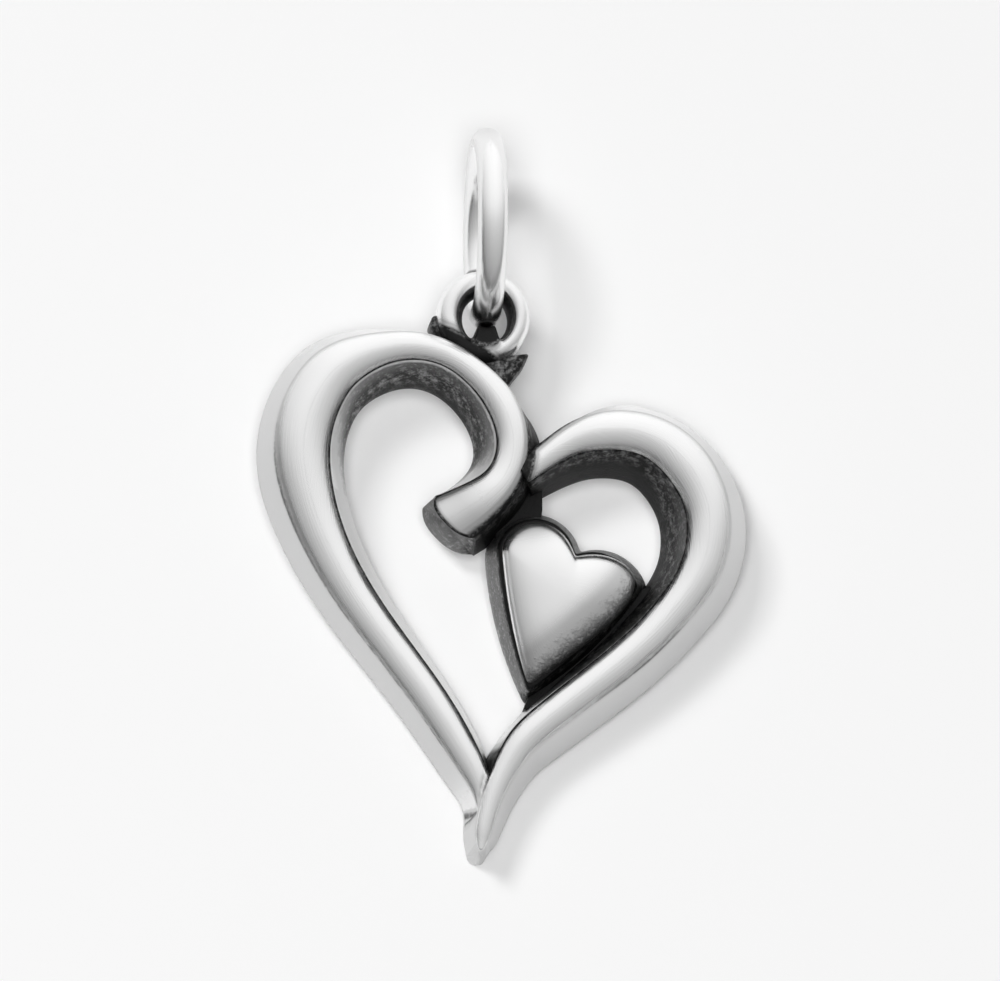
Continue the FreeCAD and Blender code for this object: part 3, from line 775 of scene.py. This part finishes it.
# From the middle of the base's back to the middle of its front: shares of the rise and of the outline
base_back_y, base_depth = 0.985, 1.475
base_rise = np.array([0.0, 0.0, 0.0, 0.0, 0.02, 0.05, 0.2, 0.4, 0.6, 0.8, 0.94, 0.98, 1.0, 1.0, 1.0])
base_draw = np.array([0.3, 0.7, 0.95, 0.985, 0.995, 1.0, 1.0, 1.0, 1.0, 1.0, 1.0, 0.99, 0.97, 0.7, 0.3])
base_outlines = base_back + (base_front - base_back) * base_rise[:, None, None]
base_points, base_run = stacked_surface(base_outlines, base_draw, base_back_y - base_depth * base_rise)
base_oxide = np.interp(base_rise, [0.0, 0.02, 0.1, 0.85, 0.95], [0.1, 0.55, 0.62, 0.62, 1.0])
base_oxide_and_shade = base_oxide[:, None] * np.ones(len(base_back))
# Painted shadow: the base darkens further where it comes near the right limb
base_shadow = bell(edge_gap(base_points, right_spine) - 0.1, 0.5)
base_oxide_and_shade = np.maximum(base_oxide_and_shade, base_shadow * (base_rise > 0.01)[:, None])
base = closed_mesh("small_heart_foot", base_points * MM, {"run": base_run, "oxide_and_shade": base_oxide_and_shade})
base.data.materials.append(silver_material("foot_silver", mottle=0.9, hairlines=0.3))
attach(base, "charm")
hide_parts("small_heart_base")


# Sunken webs
# Low webs of metal behind the face, cast in one with the rest, that join the small heart to the scroll and to
# the right limb. They are never polished and stay black.
web_front, web_back = 0.25, 0.97
scroll_web_shares = np.array([
    (0.024, 0.340), (0.018, 0.275), (0.070, 0.200), (0.118, 0.215),
    (0.118, 0.253), (0.110, 0.315), (0.040, 0.365),
])
recess_web_shares = np.array([
    (0.280, 0.415), (0.338, 0.389), (0.400, 0.450), (0.285, 0.560),
    (0.160, 0.650), (0.080, 0.617), (0.105, 0.555),
])


def web_surface(shares, front, back):
    """A flat plate over an outline: the outline, given in shares of the heart, walked in short steps and
    drawn in a little at front and back."""
    corners = np.stack([shares[:, 0] * heart_width, lobe_line - shares[:, 1] * heart_height], axis=-1)
    share = (np.arange(12) / 12)[None, :, None]
    outline = (corners[:, None] * (1 - share) + np.roll(corners, -1, axis=0)[:, None] * share).reshape(-1, 2)
    middle = corners.mean(0)
    draw = np.array([0.3, 0.8, 0.97, 1.0, 1.0, 0.99, 0.95, 0.7, 0.3])[:, None]
    depth = np.array([
        back, back, back, back - 0.05, front + 0.05, front + 0.02, front, front, front,
    ])[:, None]
    rings = middle + (outline[None] - middle) * draw[..., None]
    points = np.stack([rings[..., 0], depth + 0 * rings[..., 0], rings[..., 1]], axis=-1)
    return points, points[..., [0, 2, 1]]


for name, node, shares in (
    ("scroll_web_floor", "scroll_web", scroll_web_shares),
    ("recess_web_floor", "recess_web", recess_web_shares),
):
    web_points, web_run = web_surface(shares, web_front, web_back)
    web_levels = {"run": web_run, "oxide_and_shade": np.ones(web_points.shape[:2])}
    web = closed_mesh(name, web_points * MM, web_levels)
    web.data.materials.append(silver_material(name + "_silver", mottle=0.3, hairlines=0.2))
    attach(web, "charm")
    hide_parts(node)


# Eyelet and its feet
# A rounded ring cast on the left lobe, with a flared hole for the jump ring. Its face is polished, its hole
# and the two feet that run down to the lobe are dark, painted shade blackens a cup below the jump ring's
# wire, and oxide and painted shade darken the ring where it meets the lobe.
eyelet_x, eyelet_z = -0.1, -5.44
hole_radius, eyelet_radius, eyelet_half = 0.85, 1.565, 0.695
hole_x, hole_half_width = 0.0, 0.77
hinge_z, cup_radius = -5.26, 0.525
cup_half_width, cup_fade = 0.24, 0.14

# From the hole over the back, the rim and the front to the hole again: radius, depth and tarnish
eyelet_profile = np.array([
    (hole_radius, 0.20, 1.0), (hole_radius, 0.60, 1.0), (0.88, 0.69, 0.9),
    (1.10, eyelet_half, 0.2), (1.40, eyelet_half, 0.1), (1.53, 0.66, 0.1), (1.562, 0.50, 0.1),
    (eyelet_radius, 0.10, 0.1), (1.560, -0.20, 0.0), (1.53, -0.40, 0.0), (1.45, -0.57, 0.0),
    (1.33, -0.67, 0.0), (1.19, -0.69, 0.0), (1.07, -0.64, 0.05), (1.00, -0.50, 0.5), (0.93, -0.20, 1.0),
])


def turned_surface(profile, columns):
    """A closed profile of radius and depth turned about the hole's axis, smooth through its rows. Towards
    the hole the circles narrow to ovals about the hole's own middle. Below the jump ring's wire the hole's
    side is drawn up to a cup that is black as painted shade: a circle of cup_radius round the hinge, and
    wider towards the hole's faces."""
    wrapped = np.concatenate([profile[-1:], profile, profile[:2]])
    rows, _ = through_stations(wrapped, 5)
    rows = rows[5:-6]
    turn = np.linspace(0, 2 * math.pi, columns, endpoint=False)[None, :]
    radius, depth, oxide_and_shade = rows[:, :1], rows[:, 1:2], rows[:, 2:3]
    inner = np.clip((eyelet_radius - radius) / (eyelet_radius - hole_radius), 0, 1)
    width = radius + (hole_half_width - hole_radius) * inner
    across = eyelet_x + (hole_x - eyelet_x) * inner + width * np.cos(turn)
    height = eyelet_z + radius * np.sin(turn)
    # Painted shade: how far the black cup below the wire takes over
    shadow_cup_share = np.clip(3 * inner - 1.2, 0, 1) * bell(np.abs(across) - cup_half_width, cup_fade)
    shadow_cup_share = shadow_cup_share * (np.sin(turn) < 0)
    hollow = cup_radius + depth**2 / (2 * ring_radius)
    cup = hinge_z - np.sqrt(np.clip(hollow**2 - across**2, 0, None))
    height = height + (cup - height) * shadow_cup_share
    points = np.stack([across, depth + 0 * turn, height], axis=-1)
    mean_radius, row_spacing = 1.2, 0.1
    travel = turn * mean_radius + 0 * depth
    crossing = np.arange(len(rows))[:, None] * row_spacing + 0 * turn
    run = np.stack([travel, crossing, 0 * travel], axis=-1)
    return points, run, np.maximum(np.clip(oxide_and_shade, 0, 1), np.clip(3 * shadow_cup_share, 0, 1))


eyelet_points, eyelet_run, eyelet_oxide_and_shade = turned_surface(eyelet_profile, columns=144)
# Oxide and painted shade where the eyelet meets the lobe
lobe_meeting_shade = bell(edge_gap(eyelet_points, left_spine) - 0.25, 0.25)
eyelet_oxide_and_shade = np.maximum(eyelet_oxide_and_shade, lobe_meeting_shade)
eyelet_levels = {"run": eyelet_run, "oxide_and_shade": eyelet_oxide_and_shade}
eyelet = closed_mesh("eyelet_ring", eyelet_points * MM, eyelet_levels, looped=True)
eyelet.data.materials.append(silver_material("eyelet_silver", mottle=0.7, hairlines=0.6))
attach(eyelet, "charm")
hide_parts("eyelet")

foot_front, foot_back = -0.27, 0.985
left_foot = np.array([
    (-1.90, -5.74), (-1.78, -5.40), (-1.38, -5.36), (-0.95, -6.15), (-0.35, -6.60), (-1.25, -6.86),
])
right_foot = np.array([
    (0.10, -6.52), (0.72, -6.72), (1.46, -6.62), (1.30, -7.02), (0.44, -8.10), (-0.34, -7.52),
])


def foot_surface(corners, front, back):
    """A block over an outline, which is walked in short steps and softened by averaging each point with its
    neighbours. At the front edge the outline draws in while the depth follows a quarter turn."""
    softness, edge_share, edge_depth = 14, 0.22, 0.22
    share = (np.arange(16) / 16)[None, :, None]
    outline = (corners[:, None] * (1 - share) + np.roll(corners, -1, axis=0)[:, None] * share).reshape(-1, 2)
    for _ in range(softness):
        outline = (np.roll(outline, 1, axis=0) + 2 * outline + np.roll(outline, -1, axis=0)) / 4
    middle = outline.mean(0)
    angle = np.linspace(0, math.pi / 2, 8)
    edge_draw = 1 - edge_share * (1 - np.cos(angle))
    draw = np.concatenate([[0.4, 0.9, 0.98, 1.0, 1.0], edge_draw, [0.5, 0.2]])[:, None]
    depth = np.concatenate([
        [back, back, back, back - 0.04, (front + back) / 2],
        front + edge_depth * (1 - np.sin(angle)),
        [front - 0.01, front - 0.015],
    ])[:, None]
    rings = middle + (outline[None] - middle) * draw[..., None]
    points = np.stack([rings[..., 0], depth + 0 * rings[..., 0], rings[..., 1]], axis=-1)
    return points, points[..., [0, 2, 1]]


for name, node, corners in (
    ("eyelet_left_web", "eyelet_left_foot", left_foot),
    ("eyelet_right_web", "eyelet_right_foot", right_foot),
):
    foot_points, foot_run = foot_surface(corners, foot_front, foot_back)
    foot_levels = {"run": foot_run, "oxide_and_shade": np.full(foot_points.shape[:2], 0.85)}
    foot = closed_mesh(name, foot_points * MM, foot_levels)
    foot.data.materials.append(silver_material(name + "_silver", mottle=0.5, hairlines=0.3))
    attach(foot, "charm")
    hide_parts(node)
